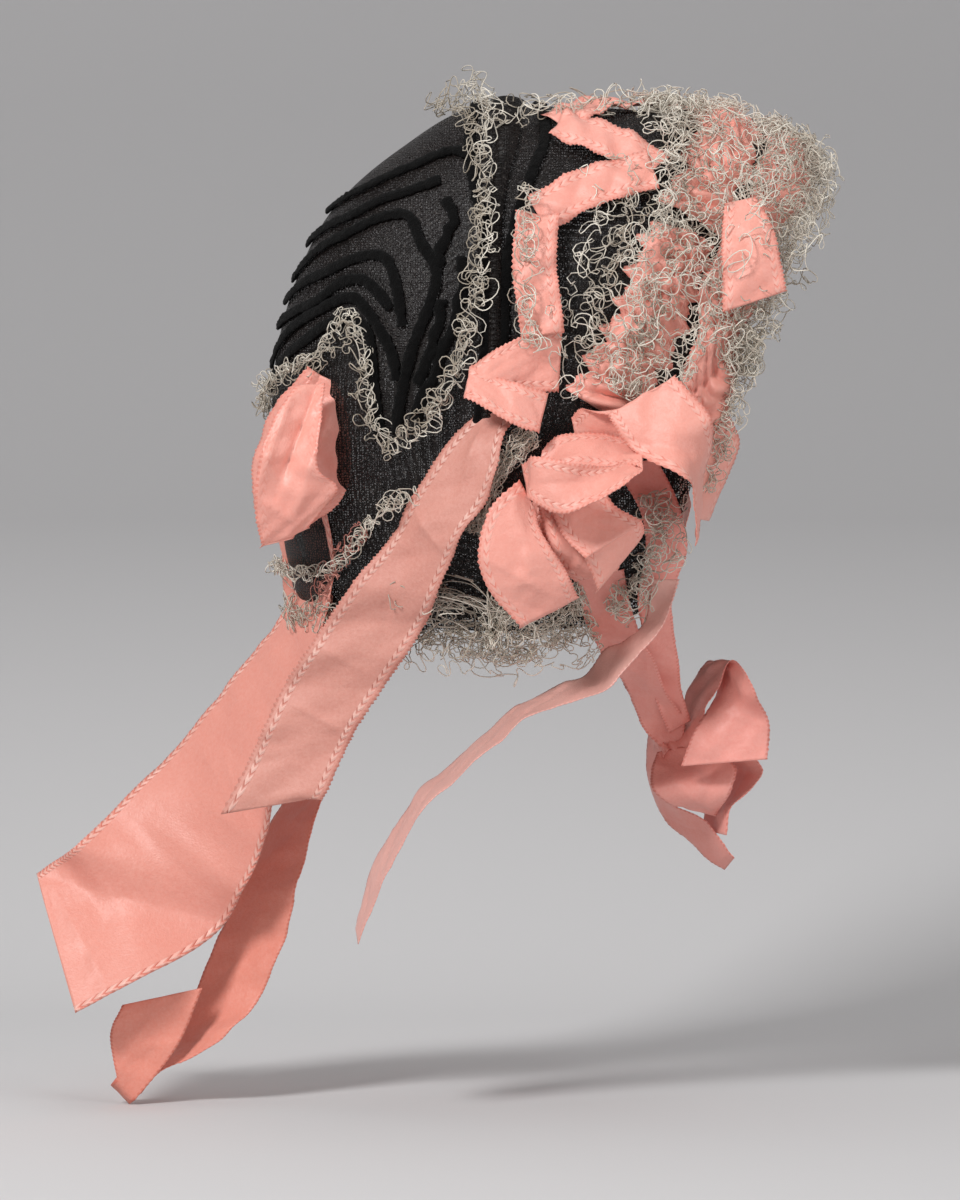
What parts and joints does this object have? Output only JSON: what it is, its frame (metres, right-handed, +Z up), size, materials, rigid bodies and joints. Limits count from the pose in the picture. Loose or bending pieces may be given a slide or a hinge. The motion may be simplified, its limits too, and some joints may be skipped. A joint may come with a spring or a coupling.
{
  "type": "day cap",
  "caption": "Historic day cap: a black net hood with velvet bands, crimped thread trim, silk ribbon bows, streamers and a chin tie.",
  "frame": {"origin": "the inside of the crown's top, where a head carries the cap", "axes": "+X the way the wearer faces, +Y the wearer's left, +Z up"},
  "size_m": [0.3916, 0.2699, 0.4976],
  "materials": {
    "net": "matte black silk net",
    "velvet": "black velvet ribbon",
    "silk": "coral silk ribbon with a soft sheen",
    "shaded_silk": "coral silk ribbon with a soft sheen",
    "thread": "crimped cream thread"
  },
  "bodies": {
    "root": {"back_bow_front_petal": "silk", "back_bow_outer_petal": "silk", "back_frizz": "thread", "broad_streamer": "silk", "cheek_streamer": "silk", "chin_back_loop": "shaded_silk", "chin_knot": "shaded_silk", "chin_lower_loop": "shaded_silk", "chin_tail": "shaded_silk", "chin_upper_loop": "shaded_silk", "crown_edge_frizz": "thread", "crown_edge_velvet": "velvet", "face_ruche": "shaded_silk", "fifth_chevron": "velvet", "first_chevron": "velvet", "fourth_chevron": "velvet", "front_band": "net", "front_frizz": "thread", "front_velvet": "velvet", "gathered_strip": "net", "left_bow_knot": "shaded_silk", "left_cheek_frizz": "thread", "left_cheek_loop": "silk", "left_chin_strap": "shaded_silk", "left_first_side_band": "velvet", "left_flap": "silk", "left_lower_loop": "silk", "left_second_side_band": "velvet", "left_short_side_band": "velvet", "left_temple_ruche": "silk", "left_upper_loop": "silk", "lower_back_frizz": "thread", "nape_frizz": "thread", "narrow_back_streamer": "silk", "net_crown": "net", "right_bow_knot": "shaded_silk", "right_cheek_frizz": "thread", "right_cheek_loop": "silk", "right_cheek_tie": "shaded_silk", "right_chin_strap": "shaded_silk", "right_first_side_band": "velvet", "right_flap": "silk", "right_forehead_end": "silk", "right_inner_end": "silk", "right_lower_loop": "silk", "right_second_side_band": "velvet", "right_short_side_band": "velvet", "right_temple_loop": "silk", "right_temple_ruche": "silk", "right_upper_loop": "silk", "second_back_band": "velvet", "second_chevron": "velvet", "side_streamer": "silk", "temple_frizz": "thread", "third_chevron": "velvet", "upper_back_band": "velvet", "zigzag_leg_1": "silk", "zigzag_leg_2": "silk", "zigzag_leg_3": "silk", "zigzag_leg_4": "silk"}
  },
  "joints": []
}
